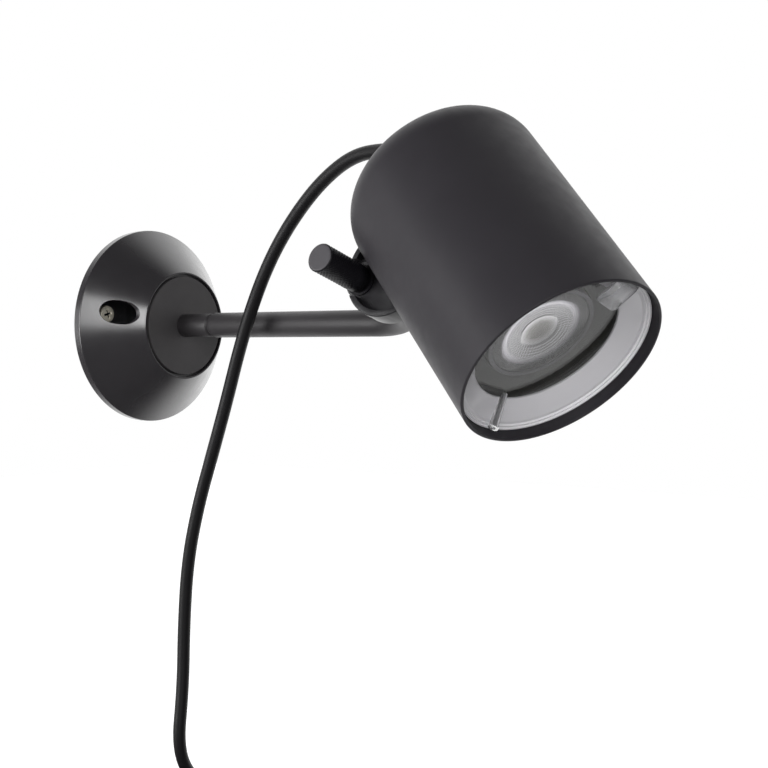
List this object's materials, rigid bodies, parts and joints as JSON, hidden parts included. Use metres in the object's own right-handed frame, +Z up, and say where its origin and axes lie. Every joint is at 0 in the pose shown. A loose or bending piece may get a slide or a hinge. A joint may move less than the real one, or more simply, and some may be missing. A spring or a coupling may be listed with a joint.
{
  "type": "pivoting spotlight wall light",
  "caption": "Round anthracite spotlight on a bent swivelling arm from a conical wall base, tilted at a knurled side knob, with a mains lead and plug.",
  "frame": {"origin": "centre of the round wall base, on the wall plane", "axes": "+Y into the wall, the light stands off the wall towards -Y, +Z up"},
  "size_m": [0.1703, 0.366, 0.472],
  "materials": {
    "plate_steel": "zinc-plated",
    "housing_paint": "satin anthracite",
    "disc_paint": "matt anthracite",
    "screw_steel": "bright zinc",
    "arm_paint": "satin anthracite",
    "nylon": "natural nylon",
    "lead": "matt dark grey",
    "tie": "black strap",
    "plug": "moulded black",
    "pin_metal": "nickel-plated",
    "housing_plastic": "fine matt anthracite",
    "shade_paint": "matt anthracite powder coat",
    "ceramic": "white steatite",
    "lamp_metal": "cast grey",
    "lamp_lens": "faceted clear",
    "baffle": "dark olive grey",
    "gasket": "black",
    "terminal": "natural",
    "wires": "insulated wire",
    "knob": "black, knurled",
    "clear": "clear moulded"
  },
  "bodies": {
    "wall_mount": {"wall_plate": "plate_steel", "wall_cone": "housing_paint", "front_disc": "disc_paint", "centre_boss": "plate_steel", "boss_screw": "screw_steel", "arm_neck": "arm_paint", "swivel_ring": "nylon", "wall_screws": "screw_steel", "cord_lower": "lead", "cord_coil": "lead", "coil_tie": "tie", "cord_tail": "lead", "plug_body": "plug", "plug_pins": "pin_metal"},
    "arm": {"arm_tube": "arm_paint", "grub_screw": "screw_steel", "arm_insert": "plate_steel", "friction_washer": "nylon", "cord_upper": "lead"},
    "head": {"pivot_housing": "housing_plastic", "housing_screws": "screw_steel", "shade": "shade_paint", "lamp_bracket": "plate_steel", "lampholder": "ceramic", "holder_screws": "screw_steel", "lamp_body": "lamp_metal", "lamp_lens": "lamp_lens", "lamp_cap": "ceramic", "lamp_pins": "pin_metal", "baffle": "baffle", "cover_gasket": "gasket", "terminal_block": "terminal", "lamp_leads": "wires", "cable_gland": "housing_plastic", "gland_nut": "housing_plastic", "strain_relief": "lead"},
    "knob": {"knurled_knob": "knob", "knob_stud": "screw_steel", "knob_washer": "knob"},
    "cover": {"clear_cover": "clear"}
  },
  "joints": [
    {"name": "arm_swivel", "type": "hinge", "parent": "wall_mount", "child": "arm", "pos_m": [0, 0, 0], "axis": [0, 1, 0], "range_deg": [-100, 100], "deforming": ["cord_lower"]},
    {"name": "head_tilt", "type": "hinge", "parent": "arm", "child": "head", "pos_m": [-0.05876, -0.2055, 0.01816], "axis": [-0.9554, 0, 0.2953], "range_deg": [-70, 105], "deforming": ["cord_upper"]},
    {"name": "knob_turn", "type": "hinge", "parent": "arm", "child": "knob", "pos_m": [-0.05876, -0.2055, 0.01816], "axis": [-0.9554, 0, 0.2953], "range_deg": [0, 360]},
    {"name": "cover_twist", "type": "hinge", "parent": "head", "child": "cover", "pos_m": [-0.07032, -0.31846, -0.01926], "axis": [-0.2152, -0.6848, -0.6962], "range_deg": [0, 20]}
  ]
}
